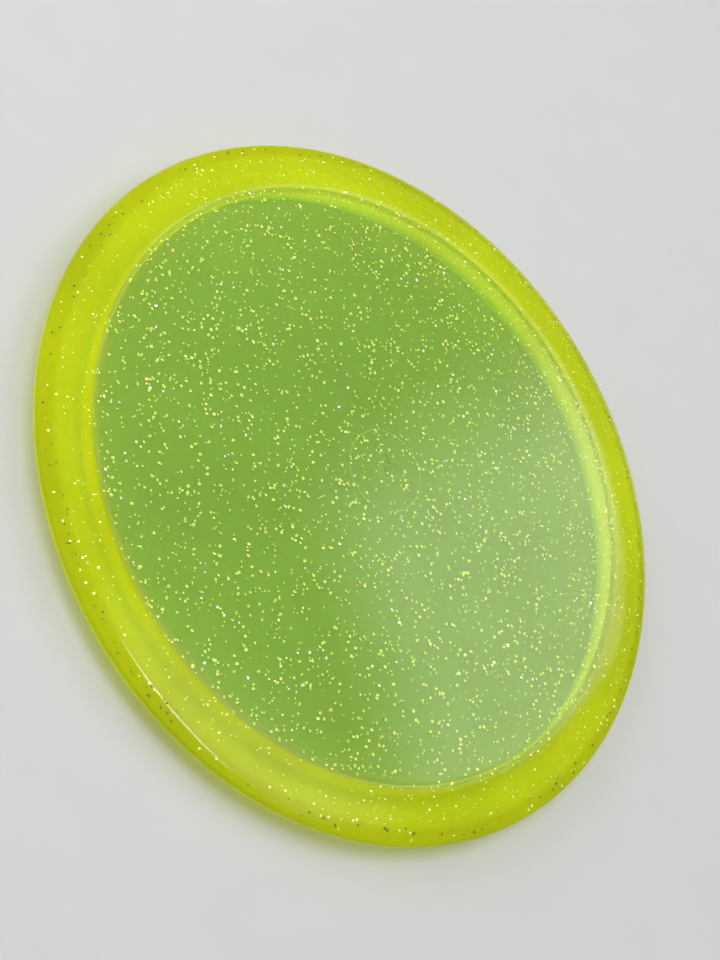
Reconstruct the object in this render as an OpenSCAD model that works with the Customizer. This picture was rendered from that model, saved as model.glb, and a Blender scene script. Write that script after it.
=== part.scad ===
// Fairway-driver flying disc, moulded in one shot from clear tinted plastic with glitter in it.
// It lies flat: the underside of the rim is on Z = 0, the flight plate domes upward, and it spins about Z.

/* [Disc] */
// Outside diameter, measured at the nose of the rim
disc_d = 212; // [210:0.5:214]
// Height from the underside of the rim to the crown of the flight plate
disc_h = 18; // [17.4:0.1:19]

/* [Rim] */
// Radial width of the rim, from its inner wall to its nose
rim_w = 15; // [14.5:0.1:15.5]
// Depth of the hollow inside the rim, measured at the inner wall
rim_depth = 11; // [10.6:0.1:11.4]
// Height of the nose above the underside of the rim
nose_z = 7.2; // [6.9:0.1:7.5]
// Radius of the rounded nose
nose_r = 1.6; // [1.4:0.1:1.8]
// Width of the flat ring that the disc lies on
foot_w = 5.3; // [4.8:0.1:5.8]

/* [Flight plate] */
// Thickness of the flight plate
plate_t = 1.9; // [1.7:0.1:2.1]
// Diameter of the witness ring that the mould's centre insert leaves under the plate
insert_d = 24.5; // [20:0.5:30]
// Diameter of the raised lip round the gate mark under the plate
gate_d = 5; // [4:0.1:6]

/* [Glitter] */
// Flat-to-flat width of a coarse hexagonal flake
coarse_w = 0.9; // [0.6:0.1:1]
// Flat-to-flat width of a fine hexagonal flake
fine_w = 0.5; // [0.3:0.1:0.6]
// Thickness of the film that the flakes are cut from
film_t = 0.06; // [0.05:0.01:0.1]
// Number of coarse flakes, spread evenly over the disc
coarse_n = 360; // [100:20:400]
// Number of fine flakes, spread evenly over the disc
fine_n = 300; // [100:20:400]

/* [Hidden] */

// Sides of the small round marks
$fn = 72;

// Radii of the nose, the rim's inner wall, and the edge where the plate runs into the rim
outer_r = disc_d / 2;
wall_r = outer_r - rim_w;
corner_r = 3;
plate_r = wall_r - corner_r;

// The top of the plate is part of a sphere that has fallen by dome_h at the edge of the plate
edge_z = rim_depth + plate_t;
dome_h = disc_h - edge_z;
dome_r = (plate_r * plate_r + dome_h * dome_h) / (2 * dome_h);
edge_slope = asin(plate_r / dome_r);

// Rounding of the rim's two bottom edges, and the angle up to which the nose is round
foot_inner_r = 1.2;
foot_outer_r = 2.5;
nose_top_angle = 62;
// How far the curve over the shoulder follows the nose, and how far it follows the dome
nose_pull = 4.5;
dome_pull = 7;

// Marks under the plate: the insert's ring, the lip round the gate, and the gate's stub
ring_w = 0.35;
ring_h = 0.15;
lip_w = 0.5;
lip_h = 0.35;
stub_r = 0.8;
stub_h = 0.6;

// Least depth of a flake's middle under any skin
skin = 0.45;
// How far a flake's middle in the rim stays from the inner wall, and from the nose's centre
wall_gap = 0.8;
nose_gap = 2;
// The most that a flake leans in plate and rim
plate_lean = 20;
rim_lean = 50;
// Angle from each flake to the next, which never lines them up
golden_angle = 137.508;

body_tint = [0.70, 0.80, 0.15, 0.85];
flake_tint = [0.93, 0.94, 0.80];

// Points of an arc round centre c, from angle a0 to angle a1, in n steps
function arc(c, r, a0, a1, n) =
    [for (i = [0:n]) let (a = a0 + (a1 - a0) * i / n) c + r * [cos(a), sin(a)]];

// Points of the cubic curve from p0 to p3 that p1 and p2 pull on, without its two ends
function curve(p0, p1, p2, p3, n) =
    [for (i = [1:n - 1]) let (t = i / n, u = 1 - t)
        u * u * u * p0 + 3 * u * u * t * p1 + 3 * u * t * t * p2 + t * t * t * p3];

// Height of the plate's top at radius r
function dome_z(r) = disc_h - dome_r + sqrt(dome_r * dome_r - r * r);

// Centres of the rounded outer foot and of the nose, and the way that the straight wing between them faces
foot_c = [wall_r + foot_inner_r + foot_w, foot_outer_r];
nose_c = [outer_r - nose_r, nose_z];
wing_run = nose_c - foot_c;
wing_angle = atan2(wing_run.y, wing_run.x) - acos((foot_outer_r - nose_r) / norm(wing_run));

// Ends of the shoulder curve: on top of the nose, and at the edge of the plate
nose_top = nose_c + nose_r * [cos(nose_top_angle), sin(nose_top_angle)];
plate_edge = [plate_r, edge_z];

plate_steps = 24;
plate_top = [for (i = [plate_steps:-1:0]) let (r = plate_r * i / plate_steps) [r, dome_z(r)]];
plate_under = [for (p = plate_top) [p.x, p.y - plate_t]];

rim_outline = concat(
    arc([plate_r, rim_depth - corner_r], corner_r, 90, 0, 8),
    arc([wall_r + foot_inner_r, foot_inner_r], foot_inner_r, 180, 270, 5),
    arc(foot_c, foot_outer_r, 270, 360 + wing_angle, 4),
    arc(nose_c, nose_r, wing_angle, nose_top_angle, 10),
    curve(
        nose_top,
        nose_top + nose_pull * [-sin(nose_top_angle), cos(nose_top_angle)],
        plate_edge + dome_pull * [cos(edge_slope), -sin(edge_slope)],
        plate_edge, 14
    )
);

// Half of the section through the whole moulding, from the axis out under the plate, round the rim and back
body_section = concat(
    [for (i = [plate_steps:-1:1]) plate_under[i]],
    rim_outline,
    plate_top
);

// A ring that stands h down from the underside of the plate, w wide, with its middle at radius r
module under_ring(r, w, h) {
    translate([0, 0, dome_z(r) - plate_t - h]) rotate_extrude()
        translate([r - w / 2, 0]) square([w, h + plate_t / 2]);
}

module disc_body() {
    color(body_tint) union() {
        rotate_extrude() polygon(body_section);
        under_ring(insert_d / 2, ring_w, ring_h);
        under_ring((gate_d - lip_w) / 2, lip_w, lip_h);
        translate([0, 0, disc_h - plate_t - stub_h]) cylinder(r = stub_r, h = stub_h + plate_t / 2);
    }
}

// Height of the outer wing at radius r, and of the line from the plate's edge to the top of the nose
function wing_z(r) = foot_c.y + foot_outer_r * sin(wing_angle)
    + (r - foot_c.x - foot_outer_r * cos(wing_angle)) * wing_run.y / wing_run.x;
function slope_z(r) = edge_z - (r - plate_r) * (edge_z - nose_top.y) / (nose_top.x - plate_r);

// Lowest and highest place that a flake's middle has at radius r
function low_z(r) = r < wall_r + wall_gap ? dome_z(r) - plate_t + skin : max(0, wing_z(r)) + 2 * skin;
function high_z(r) = (r < plate_r ? dome_z(r) : slope_z(r)) - skin;

// One hexagonal flake w wide at point p, leaning by lean towards the direction heading
module flake(w, p, lean, heading) {
    translate(p) rotate([0, lean, heading])
        linear_extrude(film_t, center = true) circle(r = w / sqrt(3), $fn = 6);
}

// n flakes spread evenly over the disc, at chance depths and leans, more tumbled in the rim than in the plate
module flakes(w, n, first_angle, seed) {
    chance = rands(0, 1, 3 * n, seed);
    color(flake_tint) for (i = [0:n - 1]) {
        r = (nose_c.x - nose_gap) * sqrt((i + 0.5) / n);
        a = first_angle + golden_angle * i;
        z = low_z(r) + chance[3 * i] * (high_z(r) - low_z(r));
        lean = (r < wall_r ? plate_lean : rim_lean) * chance[3 * i + 1];
        flake(w, [r * cos(a), r * sin(a), z], lean, 360 * chance[3 * i + 2]);
    }
}

module coarse_flakes() flakes(coarse_w, coarse_n, first_angle = 0, seed = 11);
module fine_flakes() flakes(fine_w, fine_n, first_angle = 71, seed = 12);

disc_body();
coarse_flakes();
fine_flakes();
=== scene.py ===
"""A translucent, glitter-filled flying disc lying flat on a pale studio floor."""

import math

import bpy
import numpy as np
from mathutils import Matrix, Vector


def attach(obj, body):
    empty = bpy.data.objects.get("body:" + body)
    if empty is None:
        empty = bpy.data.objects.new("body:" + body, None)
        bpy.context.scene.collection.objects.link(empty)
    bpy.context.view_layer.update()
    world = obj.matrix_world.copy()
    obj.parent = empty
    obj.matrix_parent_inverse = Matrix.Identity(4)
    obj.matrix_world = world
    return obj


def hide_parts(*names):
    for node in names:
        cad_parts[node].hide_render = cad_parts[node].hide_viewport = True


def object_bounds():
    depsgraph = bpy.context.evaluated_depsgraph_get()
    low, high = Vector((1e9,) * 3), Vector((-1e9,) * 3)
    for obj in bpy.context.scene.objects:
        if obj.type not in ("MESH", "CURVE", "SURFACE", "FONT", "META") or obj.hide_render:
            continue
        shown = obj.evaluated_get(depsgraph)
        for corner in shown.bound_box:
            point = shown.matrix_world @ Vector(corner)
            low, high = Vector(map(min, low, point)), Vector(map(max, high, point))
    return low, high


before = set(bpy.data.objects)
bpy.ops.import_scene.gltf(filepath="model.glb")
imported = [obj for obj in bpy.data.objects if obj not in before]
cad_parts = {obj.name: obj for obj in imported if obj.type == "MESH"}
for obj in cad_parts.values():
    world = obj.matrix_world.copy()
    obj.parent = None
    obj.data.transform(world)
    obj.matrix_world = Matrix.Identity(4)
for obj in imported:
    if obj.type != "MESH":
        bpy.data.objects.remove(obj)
CAD_LOW, CAD_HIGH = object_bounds()

MM = 0.001

# ---------------------------------------------------------------- sizes, from the CAD frame
OUTER_R = CAD_HIGH.x
CROWN_Z = CAD_HIGH.z

# The moulding's own proportions, which the CAD box can't give
RIM_W = 15.0 * MM
RIM_DEPTH = 11.0 * MM
NOSE_Z = 7.2 * MM
NOSE_R = 1.6 * MM
FOOT_W = 5.3 * MM
PLATE_T = 1.9 * MM
CORNER_R = 3.0 * MM
FOOT_INNER_R = 1.2 * MM
FOOT_OUTER_R = 2.5 * MM
NOSE_TOP_ANGLE = math.radians(62)
NOSE_PULL = 4.5 * MM
DOME_PULL = 7.0 * MM
RING_R = 12.25 * MM
RING_W = 0.35 * MM
RING_H = 0.15 * MM
LIP_R = 2.25 * MM
LIP_W = 0.5 * MM
LIP_H = 0.35 * MM
STUB_R = 0.8 * MM
STUB_H = 0.6 * MM

WALL_R = OUTER_R - RIM_W
PLATE_R = WALL_R - CORNER_R
EDGE_Z = RIM_DEPTH + PLATE_T
DOME_H = CROWN_Z - EDGE_Z
DOME_R = (PLATE_R ** 2 + DOME_H ** 2) / (2 * DOME_H)
EDGE_SLOPE = math.asin(PLATE_R / DOME_R)

LATHE_STEPS = 540
# Rings this close to an edge keep the smooth shading of the two sides apart
GUARD = 0.08 * MM

# ---------------------------------------------------------------- camera
CAMERA_LENS = 82.5
CAMERA_ELEVATION = math.radians(48.56)
CAMERA_ROLL = math.radians(-60.06)
CAMERA_DISTANCE = 5.951 * OUTER_R
AIM = Vector((-1.2 * MM, -1.6 * MM, NOSE_Z))


def make_camera():
    """The camera looks down on the disc from its near side, -Y, and is rolled over to its right."""
    back = Vector((0, -math.cos(CAMERA_ELEVATION), math.sin(CAMERA_ELEVATION)))
    right = Vector((1, 0, 0))
    up = back.cross(right)
    turned_right = math.cos(CAMERA_ROLL) * right - math.sin(CAMERA_ROLL) * up
    turned_up = math.sin(CAMERA_ROLL) * right + math.cos(CAMERA_ROLL) * up
    data = bpy.data.cameras.new("camera")
    data.lens = CAMERA_LENS
    data.clip_start = 0.01
    data.clip_end = 50
    camera = bpy.data.objects.new("camera", data)
    turn = Matrix((turned_right, turned_up, back)).transposed()
    camera.matrix_world = Matrix.Translation(AIM + CAMERA_DISTANCE * back) @ turn.to_4x4()
    bpy.context.collection.objects.link(camera)
    bpy.context.scene.camera = camera


# ---------------------------------------------------------------- node helpers
def rgb(red, green, blue):
    return (red, green, blue, 1.0)


class Nodes:
    """A short way to build the node tree of a material or a world."""

    def __init__(self, owner, output="ShaderNodeOutputMaterial"):
        self.owner = owner
        owner.use_nodes = True
        self.tree = owner.node_tree
        self.tree.nodes.clear()
        self.out = self.add(output)

    def add(self, kind, inputs=None, **settings):
        """Adds a node. inputs maps a socket's name or index to a value or to another node's output."""
        node = self.tree.nodes.new(kind)
        for key, value in settings.items():
            setattr(node, key, value)
        for key, value in (inputs or {}).items():
            self.put(node.inputs[key], value)
        return node

    def put(self, socket, value):
        if isinstance(value, bpy.types.NodeSocket):
            self.tree.links.new(value, socket)
        else:
            socket.default_value = value

    def finish(self, shader):
        """Makes shader the surface, and gives back the material or the world."""
        self.put(self.out.inputs["Surface"], shader)
        return self.owner

    def maths(self, operation, a, b=0.0, c=0.0):
        return self.add("ShaderNodeMath", {0: a, 1: b, 2: c}, operation=operation).outputs[0]

    def product(self, first, *others):
        for other in others:
            first = self.maths("MULTIPLY", first, other)
        return first

    def radius(self, x, y):
        return self.maths("SQRT", self.maths("ADD", self.product(x, x), self.product(y, y)))

    def distance(self, a, b):
        return self.maths("ABSOLUTE", self.maths("SUBTRACT", a, b))

    def ramp(self, value, low, high, to_low=0.0, to_high=1.0, smooth=True):
        """Maps value from the span low..high to to_low..to_high, easing at both ends when smooth."""
        node = self.add(
            "ShaderNodeMapRange",
            {"Value": value, "From Min": low, "From Max": high, "To Min": to_low, "To Max": to_high},
            interpolation_type="SMOOTHSTEP" if smooth else "LINEAR",
        )
        return node.outputs[0]

    def band(self, value, start, full, fade, end):
        """1 from full to fade, easing down to 0 at start and at end."""
        return self.product(self.ramp(value, start, full), self.ramp(value, end, fade))

    def mix(self, kind, factor, a, b):
        node = self.add("ShaderNodeMix", data_type=kind)
        for name, value in (("Factor", factor), ("A", a), ("B", b)):
            self.put(node.inputs[name], value)
        return node.outputs["Result"]

    def mix_colour(self, factor, a, b):
        return self.mix("RGBA", factor, a, b)

    def mix_number(self, factor, a, b):
        return self.mix("FLOAT", factor, a, b)

    def mix_shader(self, factor, a, b):
        return self.add("ShaderNodeMixShader", {0: factor, 1: a, 2: b}).outputs[0]

    def noise(self, vector, scale, detail=2.0, roughness=0.5):
        inputs = {"Vector": vector, "Scale": scale, "Detail": detail, "Roughness": roughness}
        return self.add("ShaderNodeTexNoise", inputs).outputs["Fac"]


# ---------------------------------------------------------------- the moulding's section
def arc(centre, radius, start, end, steps):
    return [
        (centre[0] + radius * math.cos(a), centre[1] + radius * math.sin(a))
        for a in (start + (end - start) * i / steps for i in range(steps + 1))
    ]


def cubic(p0, p1, p2, p3, steps):
    """The cubic curve from p0 to p3 that p1 and p2 pull on, without its two ends."""
    points = []
    for i in range(1, steps):
        t = i / steps
        u = 1 - t
        weights = (u ** 3, 3 * u * u * t, 3 * u * t * t, t ** 3)
        points.append(tuple(sum(w * p[k] for w, p in zip(weights, (p0, p1, p2, p3))) for k in (0, 1)))
    return points


def dome_z(r):
    return CROWN_Z - DOME_R + math.sqrt(DOME_R ** 2 - r ** 2)


def under_z(r):
    """The height of the plate's underside at radius r, with the marks that stand down from it."""
    def ridge(middle, width, height):
        away = abs(r - middle) / (width / 2)
        return height * max(0.0, 1 - away ** 2) if away < 1 else 0.0

    stub = STUB_H * (1 - (r / STUB_R) ** 4) if r < STUB_R else 0.0
    return dome_z(r) - PLATE_T - ridge(RING_R, RING_W, RING_H) - ridge(LIP_R, LIP_W, LIP_H) - stub


def under_radii():
    """Radii from the axis out to the corner, close together where the marks are."""
    marks = [STUB_R * k / 8 for k in range(1, 9)] + [STUB_R + GUARD]
    for middle, width in ((LIP_R, LIP_W), (RING_R, RING_W)):
        marks += [middle - width / 2 - GUARD] + [middle + width * (k / 8 - 0.5) for k in range(9)]
        marks += [middle + width / 2 + GUARD]
    plain = [PLATE_R * k / 16 for k in range(1, 16)] + [PLATE_R - 2 * GUARD]
    clear = [r for r in plain if min(abs(r - m) for m in marks) > 0.3 * MM]
    return sorted(marks + clear)


FOOT_C = (WALL_R + FOOT_INNER_R + FOOT_W, FOOT_OUTER_R)
NOSE_C = (OUTER_R - NOSE_R, NOSE_Z)
WING_RUN = (NOSE_C[0] - FOOT_C[0], NOSE_C[1] - FOOT_C[1])
WING_L = math.hypot(*WING_RUN)
WING_ANGLE = math.atan2(WING_RUN[1], WING_RUN[0]) - math.acos((FOOT_OUTER_R - NOSE_R) / WING_L)


def body_section():
    """The section from under the plate's middle out, round the rim, and back over the top, off the axis."""
    quarter = math.pi / 2
    nose_top = (
        NOSE_C[0] + NOSE_R * math.cos(NOSE_TOP_ANGLE),
        NOSE_C[1] + NOSE_R * math.sin(NOSE_TOP_ANGLE),
    )
    plate_edge = (PLATE_R, EDGE_Z)
    nose_pull = (
        nose_top[0] - NOSE_PULL * math.sin(NOSE_TOP_ANGLE),
        nose_top[1] + NOSE_PULL * math.cos(NOSE_TOP_ANGLE),
    )
    dome_pull = (
        PLATE_R + DOME_PULL * math.cos(EDGE_SLOPE),
        EDGE_Z - DOME_PULL * math.sin(EDGE_SLOPE),
    )
    section = [(r, under_z(r)) for r in under_radii()]
    section += arc((PLATE_R, RIM_DEPTH - CORNER_R), CORNER_R, quarter, 0, 16)
    section += [(WALL_R, RIM_DEPTH - CORNER_R - k * 2 * MM) for k in range(1, 4)]
    section += arc((WALL_R + FOOT_INNER_R, FOOT_INNER_R), FOOT_INNER_R, 2 * quarter, 3 * quarter, 10)
    section += arc(FOOT_C, FOOT_OUTER_R, 3 * quarter, 4 * quarter + WING_ANGLE, 8)
    section += arc(NOSE_C, NOSE_R, WING_ANGLE, NOSE_TOP_ANGLE, 20)
    section += cubic(nose_top, nose_pull, dome_pull, plate_edge, 30)
    section += [(PLATE_R * k / 20, dome_z(PLATE_R * k / 20)) for k in range(20, 0, -1)]
    return section


def lathe(name, section, low_pole, high_pole, steps):
    """A closed surface of revolution from an open section, closed on the axis at the two poles."""
    points = np.array(section)
    rings = len(points)
    turn = np.arange(steps) * 2 * math.pi / steps
    circle = np.stack([np.cos(turn), np.sin(turn)], axis=1)
    verts = np.empty((rings, steps, 3))
    verts[:, :, :2] = points[:, None, :1] * circle[None]
    verts[:, :, 2] = points[:, None, 1]
    verts = verts.reshape(-1, 3).tolist() + [(0, 0, low_pole), (0, 0, high_pole)]
    low, high = rings * steps, rings * steps + 1
    faces = []
    for j in range(steps):
        k = (j + 1) % steps
        faces.append((low, k, j))
        faces.append((high, (rings - 1) * steps + j, (rings - 1) * steps + k))
        for i in range(rings - 1):
            faces.append((i * steps + j, i * steps + k, (i + 1) * steps + k, (i + 1) * steps + j))
    mesh = bpy.data.meshes.new(name)
    mesh.from_pydata(verts, [], faces)
    mesh.validate()
    mesh.polygons.foreach_set("use_smooth", [True] * len(mesh.polygons))
    piece = bpy.data.objects.new(name, mesh)
    bpy.context.collection.objects.link(piece)
    return piece


def make_body():
    body = lathe("disc_moulding", body_section(), under_z(0.0), CROWN_Z, LATHE_STEPS)
    body.data.materials.append(plastic_material())
    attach(body, "root")
    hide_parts("disc_body")
    return body


# ---------------------------------------------------------------- glitter
# The two grades of flake: width, number, share of those in the rim that lie in its skin, and chance seed,
# then the tint of most flakes, the shares that are silver and warm, and the share by the nose that is
# painted dark, as a painted dark reflection
COARSE = dict(
    width=0.92 * MM, count=2600, in_skin=0.16, seed=5,
    tinted=rgb(0.72, 0.88, 0.16), silver=0.07, warm=0.12, dark=0.62)
FINE = dict(
    width=0.56 * MM, count=2900, in_skin=0.8, seed=6,
    tinted=rgb(0.72, 0.88, 0.15), silver=0.05, warm=0.08, dark=0.80)
FILM_T = 0.05 * MM
HEXAGON = [(math.cos(k * math.pi / 3), math.sin(k * math.pi / 3)) for k in range(6)]
# How far chance changes a flake's width, and how much it is drawn in across
WIDTH_SPREAD = (0.75, 1.15)
STRETCH_SPREAD = (0.6, 1.0)
# Size of the flakes in the rim and by the nose, over the size in the plate
RIM_SIZE = 0.7
NOSE_SIZE = 0.85

# Depth of the highest flakes' middles under the skin, and the mean depth of the others under those
SKIN = 0.30 * MM
SINK = 2.2 * MM
# Flakes that would sink through lie in this lowest share of the depth
LOW_SHARE = 0.2
# The most that a flake leans in plate and rim. The power is below 1, so more flakes are steep than level.
PLATE_LEAN = math.radians(42)
RIM_LEAN = math.radians(60)
LEAN_POWER = 0.7
# How far past the inner wall the flakes go down into the rim, how far inside it some lie in the skin
# already, and the width of the band by the nose
WALL_GAP = 0.8 * MM
SHOULDER_W = 2 * MM
NOSE_BAND = 5.5 * MM
# Share of the flakes by the nose that lie in the skin, and how much of its lean a flake in the skin keeps
NOSE_IN_SKIN = 0.8
SKIN_LEAN = 0.08


def low_z(r):
    """The lowest place for a flake's middle at radius r."""
    if r < WALL_R + WALL_GAP:
        return dome_z(r) - PLATE_T + SKIN
    wing = FOOT_C[1] + (r - FOOT_C[0] - FOOT_OUTER_R) * WING_RUN[1] / WING_RUN[0]
    return max(0.0, wing) + 3 * SKIN


def high_z(r, top):
    """The highest place for the middle of a flake that isn't in the skin, at radius r."""
    return float(np.interp(r, top[:, 0], top[:, 1])) - SKIN


def top_side():
    """The section over the top, from the axis out to the nose, and the angle by which it falls."""
    section = np.array(body_section())
    top = section[section[:, 0].argmax():][::-1]
    return top, -np.arctan(np.gradient(top[:, 1], top[:, 0]))


def place_flake(random, grade, top, fall):
    """A chance place for one flake: its middle, turn, size, and how far it is drawn in across."""
    r = NOSE_C[0] * math.sqrt(random.random())
    around = random.uniform(0, 2 * math.pi)
    low, high = low_z(r), high_z(r, top)
    z = max(high - SINK * random.exponential(), low + (high - low) * random.random() * LOW_SHARE)
    lean = (PLATE_LEAN if r < WALL_R else RIM_LEAN) * random.random() ** LEAN_POWER
    heading = Matrix.Rotation(random.uniform(0, 2 * math.pi), 3, "Z")
    by_nose = r > OUTER_R - NOSE_BAND
    size = grade["width"] * random.uniform(*WIDTH_SPREAD) / math.sqrt(3)
    if r > WALL_R:
        size *= NOSE_SIZE if by_nose else RIM_SIZE
    stretch = random.uniform(*STRETCH_SPREAD)
    turn = heading @ Matrix.Rotation(lean, 3, "Y")
    if random.random() < (NOSE_IN_SKIN if by_nose else grade["in_skin"]) and r > WALL_R - SHOULDER_W:
        slope = float(np.interp(r, top[:, 0], fall))
        turn = Matrix.Rotation(around, 3, "Z") @ Matrix.Rotation(slope, 3, "Y")
        turn = turn @ heading @ Matrix.Rotation(lean * SKIN_LEAN, 3, "Y")
        z = high + SKIN
    return Vector((r * math.cos(around), r * math.sin(around), z)), turn, size, stretch


def add_flake(verts, faces, middle, turn, size, stretch):
    """Adds a thin hexagonal prism, size being the way from its middle to a corner."""
    first = len(verts)
    for side in (-0.5, 0.5):
        for x, y in HEXAGON:
            verts.append(middle + turn @ Vector((x * size, y * size * stretch, side * FILM_T)))
    faces.append([first + k for k in range(5, -1, -1)])
    faces.append([first + 6 + k for k in range(6)])
    for k in range(6):
        n = (k + 1) % 6
        faces.append([first + k, first + n, first + 6 + n, first + 6 + k])


def make_glitter(name, node, grade):
    """Hexagonal flakes, cast at random through the whole moulding. Some in the rim lie in its skin."""
    random = np.random.default_rng(grade["seed"])
    top, fall = top_side()
    verts, faces = [], []
    for _ in range(grade["count"]):
        add_flake(verts, faces, *place_flake(random, grade, top, fall))
    mesh = bpy.data.meshes.new(name)
    mesh.from_pydata(verts, [], faces)
    mesh.materials.append(glitter_material(name, grade))
    piece = bpy.data.objects.new(name, mesh)
    bpy.context.collection.objects.link(piece)
    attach(piece, "root")
    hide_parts(node)
    return piece


# ---------------------------------------------------------------- plastic
# How the plastic differs over the skin. tint colours what shows through, milk is the colour of the cloudy
# share, milky is that share, glow is how much of it lets light on through, passing is how much lamplight
# gets by, and haze is the roughness.
ZONES = {
    "top_plate": dict(
        tint=(0.99, 1.00, 0.93), milk=(0.50, 0.50, 0.30), milky=0.06, glow=0.4, passing=0.97, haze=0.03),
    "top_rim": dict(
        tint=(0.95, 0.98, 0.60), milk=(0.44, 0.50, 0.010), milky=0.60, glow=0.4, passing=0.95, haze=0.03),
    # top_nose: its milk is darker than top_rim's, a painted shade along the nose
    "top_nose": dict(
        tint=(0.95, 0.98, 0.50), milk=(0.38, 0.41, 0.005), milky=0.78, glow=0.4, passing=0.90, haze=0.03),
    "hairline": dict(
        tint=(0.80, 0.90, 0.60), milk=(0.05, 0.11, 0.02), milky=0.85, glow=0.0, passing=0.80, haze=0.03),
    "under_plate": dict(
        tint=(0.64, 0.86, 0.16), milk=(0.30, 0.63, 0.055), milky=0.38, glow=0.4, passing=0.36, haze=0.08),
    "under_corner": dict(
        tint=(0.62, 0.84, 0.15), milk=(0.33, 0.56, 0.035), milky=0.47, glow=0.4, passing=0.45, haze=0.05),
    # under_marks: its milk is paler than under_plate's, a painted highlight on the gate ring and lip
    "under_marks": dict(
        tint=(0.60, 0.84, 0.18), milk=(0.46, 0.68, 0.11), milky=0.70, glow=0.4, passing=0.45, haze=0.10),
    "under_rim": dict(
        tint=(0.90, 0.96, 0.10), milk=(0.66, 0.76, 0.02), milky=0.90, glow=0.4, passing=0.50, haze=0.05),
    # wall: its milk is paler than under_rim's, painted light standing in for light scattered out of the lit
    # rim
    "wall": dict(
        tint=(0.90, 0.96, 0.10), milk=(0.80, 0.80, 0.03), milky=0.95, glow=0.2, passing=0.50, haze=0.05),
    # wall_foot_painted_shade: its darker milk is painted shade towards the foot of the inner wall
    "wall_foot_painted_shade": dict(
        tint=(0.80, 0.92, 0.15), milk=(0.52, 0.72, 0.06), milky=0.88, glow=0.4, passing=0.40, haze=0.05),
}
BLACK = rgb(0, 0, 0)

# Where the zones run over into each other. The first is the upward part of the skin's outward direction,
# the others are radii, and the foot of the inner wall begins below FOOT_TOP.
TOP_EASE = (0.0, 0.25)
RIM_EASE = (WALL_R - 1.5 * MM, WALL_R + 1 * MM)
NOSE_EASE = (OUTER_R - 6.0 * MM, OUTER_R - 3.0 * MM)
BACK_EASE = (WALL_R - 0.4 * MM, WALL_R - 0.05 * MM)
CORNER_EASE = (PLATE_R - 0.2 * MM, PLATE_R + 0.3 * MM)
WALL_EASE = (WALL_R + 1.5 * MM, WALL_R + 0.5 * MM)
FOOT_TOP = RIM_DEPTH * 0.5

# Two hairline flow marks that cross at the gate: middle, heading in degrees, and half length
HAIRLINES = (((-0.8 * MM, 2.2 * MM), 53, 5.6 * MM), ((-1.5 * MM, 1.6 * MM), -16, 5.8 * MM))
HAIRLINE_W = 0.28 * MM
# The share of a hairline's half length from which it fades
HAIRLINE_FADE = 0.3

# Painted glow: the inner wall of the rim emits light, standing in for light scattered through the rim and
# for the edge glow of fluorescent plastic. It does so less for rays inside the plastic than for rays
# outside it.
PAINTED_GLOW_COLOUR = rgb(1.0, 0.73, 0.01)
PAINTED_GLOW = 0.65
PAINTED_GLOW_COLOUR_INSIDE = rgb(0.86, 1.0, 0.05)
PAINTED_GLOW_INSIDE = 0.1
# The painted glow falls to this share between these two heights, towards the corner
PAINTED_GLOW_FADE = (RIM_DEPTH * 0.85, RIM_DEPTH * 0.55)
PAINTED_GLOW_FADE_TO = 0.4

# Unevenness of the milk, a slow ripple in the polished skin, and hair-fine handling scratches in its gloss
PATCH_SCALE = 35.0
CLOUD_DEPTH = 0.07
RIPPLE_SCALE = 60.0
RIPPLE_H = 0.003 * MM
SCRATCH_SCALE = 900.0
SCRATCH_LENGTH = 40
SCRATCH_HEADING = math.radians(25)
SCRATCH_HAZE = 0.10

IOR = 1.5
MILK_HAZE = 0.08
DEEP_ROUGHNESS = 0.6


def hairline(m, x, y, middle, heading, half):
    """How much of a point lies on a hairline, which fades towards its ends."""
    a = math.radians(heading)
    dx = m.maths("SUBTRACT", x, middle[0])
    dy = m.maths("SUBTRACT", y, middle[1])
    along = m.maths("ADD", m.product(dx, math.cos(a)), m.product(dy, math.sin(a)))
    aside = m.maths("SUBTRACT", m.product(dy, math.cos(a)), m.product(dx, math.sin(a)))
    near = m.ramp(m.maths("ABSOLUTE", aside), HAIRLINE_W / 2, HAIRLINE_W / 4)
    return m.product(near, m.ramp(m.maths("ABSOLUTE", along), half, half * HAIRLINE_FADE))


def zone_masks(m, x, y, z, outward):
    """How far a point belongs to each zone. outward is the upward part of the skin's outward direction."""
    r = m.radius(x, y)
    on_ring = m.maths("LESS_THAN", m.distance(r, RING_R), RING_W / 2)
    on_lip = m.maths("LESS_THAN", m.distance(r, LIP_R), LIP_W / 2)
    return dict(
        top=m.ramp(outward, *TOP_EASE),
        rim=m.ramp(r, *RIM_EASE),
        nose=m.ramp(r, *NOSE_EASE),
        back=m.ramp(r, *BACK_EASE),
        corner=m.ramp(r, *CORNER_EASE),
        wall=m.ramp(r, *WALL_EASE),
        foot=m.ramp(z, FOOT_TOP, 0.0),
        marks=m.maths("MAXIMUM", on_ring, on_lip),
        hairlines=m.maths("MAXIMUM", *(hairline(m, x, y, *line) for line in HAIRLINES)),
    )


def by_zone(m, mask, what):
    """A colour or a number that differs over the skin's zones."""
    value = {name: zone[what] for name, zone in ZONES.items()}
    pick = m.mix_number
    if isinstance(value["top_rim"], tuple):
        value = {name: rgb(*v) for name, v in value.items()}
        pick = m.mix_colour
    middle = pick(mask["hairlines"], value["top_plate"], value["hairline"])
    over = pick(mask["nose"], pick(mask["rim"], middle, value["top_rim"]), value["top_nose"])
    inner = pick(mask["corner"], value["under_plate"], value["under_corner"])
    inner = pick(mask["marks"], inner, value["under_marks"])
    wall = pick(mask["foot"], value["wall"], value["wall_foot_painted_shade"])
    back = pick(mask["wall"], value["under_rim"], wall)
    return pick(mask["top"], pick(mask["back"], inner, back), over)


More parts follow.
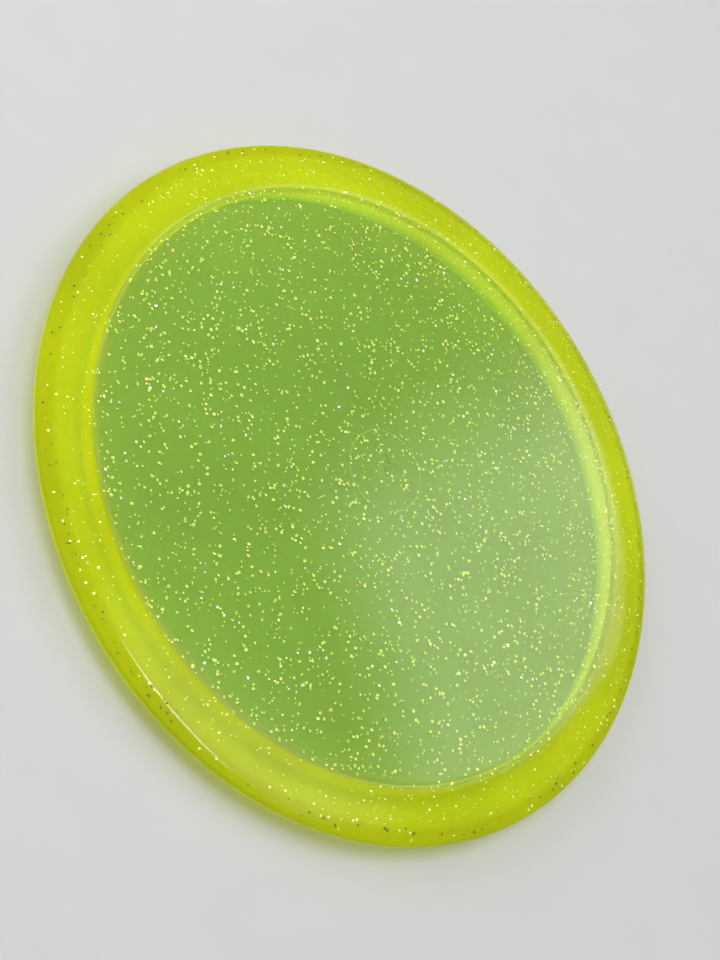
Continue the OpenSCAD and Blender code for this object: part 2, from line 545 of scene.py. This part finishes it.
def painted_wall_glow(m, mask, z, inside):
    """How strong the inner wall's painted glow is: not on the top side, less towards the foot and the
    corner.
    """
    on_wall = m.product(mask["wall"], mask["back"], m.maths("SUBTRACT", 1.0, mask["top"]))
    strength = m.mix_number(inside, PAINTED_GLOW, PAINTED_GLOW_INSIDE)
    return m.product(
        on_wall, m.ramp(z, 0.0, FOOT_TOP), strength, m.ramp(z, *PAINTED_GLOW_FADE, PAINTED_GLOW_FADE_TO, 1.0))


def surface_detail(m, spot):
    """How strong the milk is at a spot, how much haze scratches add there, and the ripple as a normal."""
    patches = m.noise(spot, PATCH_SCALE, 3.0, 0.6)
    cloud = m.ramp(patches, 0.3, 0.7, 1 - CLOUD_DEPTH, 1 + CLOUD_DEPTH)
    scale = (SCRATCH_SCALE, SCRATCH_SCALE / SCRATCH_LENGTH, SCRATCH_SCALE)
    drawn_out = {"Vector": spot, "Rotation": (0, 0, SCRATCH_HEADING), "Scale": scale}
    cells = m.noise(m.add("ShaderNodeMapping", drawn_out).outputs[0], 1.0, 2.0, 0.7)
    scratches = m.ramp(cells, 0.68, 0.76, 0.0, SCRATCH_HAZE)
    ripple = m.product(m.noise(spot, RIPPLE_SCALE, 0.0), RIPPLE_H)
    relief = m.add("ShaderNodeBump", {"Height": ripple, "Distance": 1.0, "Strength": 1.0}).outputs[0]
    return cloud, scratches, relief


def shadow_shader(m, mask, tint):
    """What a shadow ray meets: it passes on, with half of the tint, as far as the zone lets it."""
    one_pass = m.add("ShaderNodeGamma", {"Color": tint, "Gamma": 0.5}).outputs[0]
    shade = m.mix_colour(by_zone(m, mask, "passing"), BLACK, one_pass)
    return m.add("ShaderNodeBsdfTransparent", {"Color": shade}).outputs[0]


def plastic_material():
    """Clear skin over milky depths: green and half see-through in the plate, yellow in the rim, whose inner
    wall has a painted glow.
    """
    m = Nodes(bpy.data.materials.new("disc_plastic"))
    place = m.add("ShaderNodeTexCoord")
    inside = m.add("ShaderNodeNewGeometry").outputs["Backfacing"]
    x, y, z = m.add("ShaderNodeSeparateXYZ", {0: place.outputs["Object"]}).outputs
    facing = m.add("ShaderNodeSeparateXYZ", {0: place.outputs["Normal"]}).outputs[2]
    # Rays inside the plastic are given the skin's direction turned over, so it is turned back for them
    outward = m.product(facing, m.maths("MULTIPLY_ADD", inside, -2.0, 1.0))
    mask = zone_masks(m, x, y, z, outward)
    cloud, scratches, relief = surface_detail(m, place.outputs["Object"])

    tint = by_zone(m, mask, "tint")
    milk = m.add("ShaderNodeHueSaturation", {"Color": by_zone(m, mask, "milk"), "Value": cloud}).outputs[0]
    clear = m.add("ShaderNodeBsdfPrincipled", {
        "Base Color": tint,
        "Roughness": m.maths("ADD", scratches, by_zone(m, mask, "haze")),
        "IOR": IOR,
        "Normal": relief,
        "Transmission Weight": 1.0,
    })
    polished = m.add("ShaderNodeBsdfPrincipled", {
        "Base Color": milk,
        "Roughness": m.maths("ADD", scratches, MILK_HAZE),
        "IOR": IOR,
        "Normal": relief,
    })
    deep = m.add("ShaderNodeBsdfPrincipled", {
        "Base Color": milk,
        "Roughness": DEEP_ROUGHNESS,
        "Specular IOR Level": 0.0,
        # The emission is the inner wall's painted glow
        "Emission Color": m.mix_colour(inside, PAINTED_GLOW_COLOUR, PAINTED_GLOW_COLOUR_INSIDE),
        "Emission Strength": painted_wall_glow(m, mask, z, inside),
    })
    lit_through = m.add("ShaderNodeBsdfTranslucent", {"Color": milk})
    cloudy = m.mix_shader(mask["top"], deep.outputs[0], polished.outputs[0])
    cloudy = m.mix_shader(by_zone(m, mask, "glow"), cloudy, lit_through.outputs[0])
    skin = m.mix_shader(by_zone(m, mask, "milky"), clear.outputs[0], cloudy)
    for_lamps = m.add("ShaderNodeLightPath").outputs["Is Shadow Ray"]
    return m.finish(m.mix_shader(for_lamps, skin, shadow_shader(m, mask, tint)))


# ---------------------------------------------------------------- film and floor
SILVER = rgb(1.0, 1.0, 1.0)
WARM = rgb(0.90, 0.80, 0.30)
WEAK_TINT = rgb(0.55, 0.72, 0.22)
RIM_TINT = rgb(0.70, 0.70, 0.22)
# Painted dark reflection: a share of the flakes by the nose get this colour, as if they mirrored a dark
# surround
PAINTED_DARK_REFLECTION = rgb(0.13, 0.13, 0.02)
# The least share of the full tint that a tinted flake has, and how far the rim's tint covers all others
LEAST_TINT = 0.25
RIM_TINT_SHARE = 0.8
FILM_ROUGHNESS = 0.25
# Draws a second chance out of a flake's first
RESHUFFLE = 37.0

NEAR_FLOOR = (rgb(0.40, 0.40, 0.398), rgb(0.42, 0.42, 0.418))
PAINTED_LIGHT_FAR_FLOOR = rgb(0.85, 0.85, 0.845)
# Ways from the disc between which the floor is painted paler, as painted light where less lamplight reaches
# it, in metres
FLOOR_EASE = (0.6, 4.0)
FLOOR_GRAIN = 60.0


def glitter_material(name, grade):
    """Glossy film. Some flakes are silver, some are warm, and the rest have the plastic's tint, each in its
    own strength. Some by the nose are painted dark, as a painted dark reflection."""
    m = Nodes(bpy.data.materials.new(name))
    chance = m.add("ShaderNodeNewGeometry").outputs["Random Per Island"]
    spot = m.add("ShaderNodeSeparateXYZ", {0: m.add("ShaderNodeTexCoord").outputs["Object"]})
    r = m.radius(spot.outputs[0], spot.outputs[1])
    again = m.maths("FRACT", m.product(chance, RESHUFFLE))
    strength = m.ramp(again, 0.0, 1.0, LEAST_TINT, 1.0, smooth=False)
    shade = m.mix_colour(strength, WEAK_TINT, grade["tinted"])
    shade = m.mix_colour(m.maths("LESS_THAN", chance, grade["silver"] + grade["warm"]), shade, WARM)
    shade = m.mix_colour(m.maths("LESS_THAN", chance, grade["silver"]), shade, SILVER)
    in_rim = m.ramp(r, WALL_R - 2 * MM, WALL_R + 2 * MM, 0.0, RIM_TINT_SHARE)
    shade = m.mix_colour(in_rim, shade, RIM_TINT)
    # Painted dark reflection on a share of the flakes by the nose
    by_nose = m.ramp(r, OUTER_R - NOSE_BAND, OUTER_R - NOSE_BAND + 1 * MM)
    picked = m.maths("GREATER_THAN", chance, 1 - grade["dark"])
    shade = m.mix_colour(m.product(by_nose, picked), shade, PAINTED_DARK_REFLECTION)
    film = m.add("ShaderNodeBsdfPrincipled", {
        "Base Color": shade,
        "Metallic": 0.0,
        "Roughness": FILM_ROUGHNESS,
    })
    return m.finish(film.outputs[0])


def floor_material():
    """Pale grey paper with a faint grain, painted paler far away as painted light."""
    m = Nodes(bpy.data.materials.new("studio_floor"))
    spot = m.add("ShaderNodeTexCoord").outputs["Object"]
    near = m.mix_colour(m.noise(spot, FLOOR_GRAIN, 3.0), *NEAR_FLOOR)
    away = m.add("ShaderNodeVectorMath", {0: spot}, operation="LENGTH").outputs["Value"]
    # Painted light: the floor's tone is paler far from the disc
    tone = m.mix_colour(m.ramp(away, *FLOOR_EASE), near, PAINTED_LIGHT_FAR_FLOOR)
    paper = m.add("ShaderNodeBsdfPrincipled", {"Base Color": tone, "Roughness": 0.9})
    return m.finish(paper.outputs[0])


# ---------------------------------------------------------------- stage and light
FLOOR_HALF = 20.0
FLOOR_GAP = 0.1 * MM


def make_floor():
    half, z = FLOOR_HALF, -FLOOR_GAP
    corners = [(-half, -half, z), (half, -half, z), (half, half, z), (-half, half, z)]
    mesh = bpy.data.meshes.new("floor")
    mesh.from_pydata(corners, [], [(0, 1, 2, 3)])
    mesh.materials.append(floor_material())
    floor = bpy.data.objects.new("floor", mesh)
    bpy.context.collection.objects.link(floor)


def towards(azimuth, elevation):
    """The unit vector at azimuth from +X towards +Y, and at elevation, both in degrees."""
    a, e = math.radians(azimuth), math.radians(elevation)
    return Vector((math.cos(e) * math.cos(a), math.cos(e) * math.sin(a), math.sin(e)))


def make_lamp(name, azimuth, elevation, distance, width, height, power, shine=True):
    """A soft box that faces the disc, which no camera sees. Without shine it makes no reflections."""
    away = towards(azimuth, elevation)
    data = bpy.data.lights.new(name, "AREA")
    data.shape = "RECTANGLE"
    data.size = width
    data.size_y = height
    data.energy = power
    lamp = bpy.data.objects.new(name, data)
    lamp.location = Vector((0, 0, NOSE_Z)) + distance * away
    lamp.rotation_euler = (-away).to_track_quat("-Z", "Y").to_euler()
    lamp.visible_camera = False
    lamp.visible_glossy = shine
    lamp.visible_transmission = shine
    bpy.context.collection.objects.link(lamp)


SKY = rgb(0.98, 0.98, 0.97)
# What the camera sees behind the floor, the even light on everything, and how dark gloss sees that light
BACKDROP = 0.72
EVEN_LIGHT = 0.43
DARK_SURROUND = 0.08
# The roof light: azimuth and elevation of its middle, and how far it is full and how far it reaches, in
# degrees. It is cut off where the Y of the way towards it is below ROOF_CUT, within ROOF_CUT_EASE.
ROOF_MIDDLE = (18, 71)
ROOF_INNER = 4
ROOF_OUTER = 24
ROOF_GLOW = 1.2
ROOF_CUT = -0.07
ROOF_CUT_EASE = 0.004
# The window beyond the disc, and the narrow strip by the roof light. Each band is a span of X or Z of the
# way towards it: where it starts, where it is full, where it fades, and where it ends.
WINDOW_ACROSS = (-0.08, 0.10, 0.30, 0.36)
WINDOW_UPRIGHT = (0.39, 0.49, 0.76, 0.85)
WINDOW_GLOW = 1.5
STRIP_Y = -0.085
STRIP_W = 0.024
STRIP_ALONG = (0.0, 0.15, 0.3, 0.45)
STRIP_FROM = (0.7, 0.8)
STRIP_GLOW = 20.0


def roof_light(w, way, y):
    """A round soft light high over the disc, cut off straight on its near side."""
    to_roof = w.add("ShaderNodeVectorMath", {0: way, 1: towards(*ROOF_MIDDLE)}, operation="DOT_PRODUCT")
    reach = (math.cos(math.radians(ROOF_OUTER)), math.cos(math.radians(ROOF_INNER)))
    roof = w.ramp(to_roof.outputs["Value"], *reach, 0.0, ROOF_GLOW)
    return w.product(roof, w.ramp(y, ROOF_CUT - ROOF_CUT_EASE, ROOF_CUT, smooth=False))


def make_world():
    """An even pale surround with a roof light, a bright strip by its cut, and a tall window beyond."""
    w = Nodes(bpy.data.worlds.new("studio"), "ShaderNodeOutputWorld")
    way = w.add("ShaderNodeTexCoord").outputs["Generated"]
    x, y, z = w.add("ShaderNodeSeparateXYZ", {0: way}).outputs
    ray = w.add("ShaderNodeLightPath")
    even = w.mix_number(ray.outputs["Is Glossy Ray"], EVEN_LIGHT, DARK_SURROUND)
    beyond = w.maths("GREATER_THAN", y, 0.0)
    window = w.product(w.band(x, *WINDOW_ACROSS), w.band(z, *WINDOW_UPRIGHT), beyond)
    near_strip = w.ramp(w.distance(y, STRIP_Y), STRIP_W / 2, STRIP_W / 4)
    strip = w.product(near_strip, w.band(x, *STRIP_ALONG), w.ramp(z, *STRIP_FROM))
    glow = w.maths("MULTIPLY_ADD", strip, STRIP_GLOW, roof_light(w, way, y))
    glow = w.maths("MULTIPLY_ADD", window, WINDOW_GLOW, glow)
    shown = w.mix_number(ray.outputs["Is Camera Ray"], w.maths("ADD", even, glow), BACKDROP)
    sky = w.add("ShaderNodeBackground", {"Color": SKY, "Strength": shown})
    bpy.context.scene.world = w.finish(sky.outputs[0])


def light_studio():
    make_world()
    make_lamp("key_soft_box", 215, 72, 1.5, 0.8, 0.8, 15, shine=False)
    make_lamp("back_soft_box", 75, 52, 1.5, 0.8, 0.8, 7.5, shine=False)
    make_lamp("left_window", 197, 28, 1.4, 0.95, 0.85, 10, shine=False)
    make_lamp("left_strip", 197, 28, 1.4, 0.12, 0.85, 1.2)
    bpy.context.scene.view_settings.view_transform = "Standard"


# ---------------------------------------------------------------- build
make_camera()
make_floor()
light_studio()
make_body()
make_glitter("coarse_glitter", "coarse_flakes", COARSE)
make_glitter("fine_glitter", "fine_flakes", FINE)
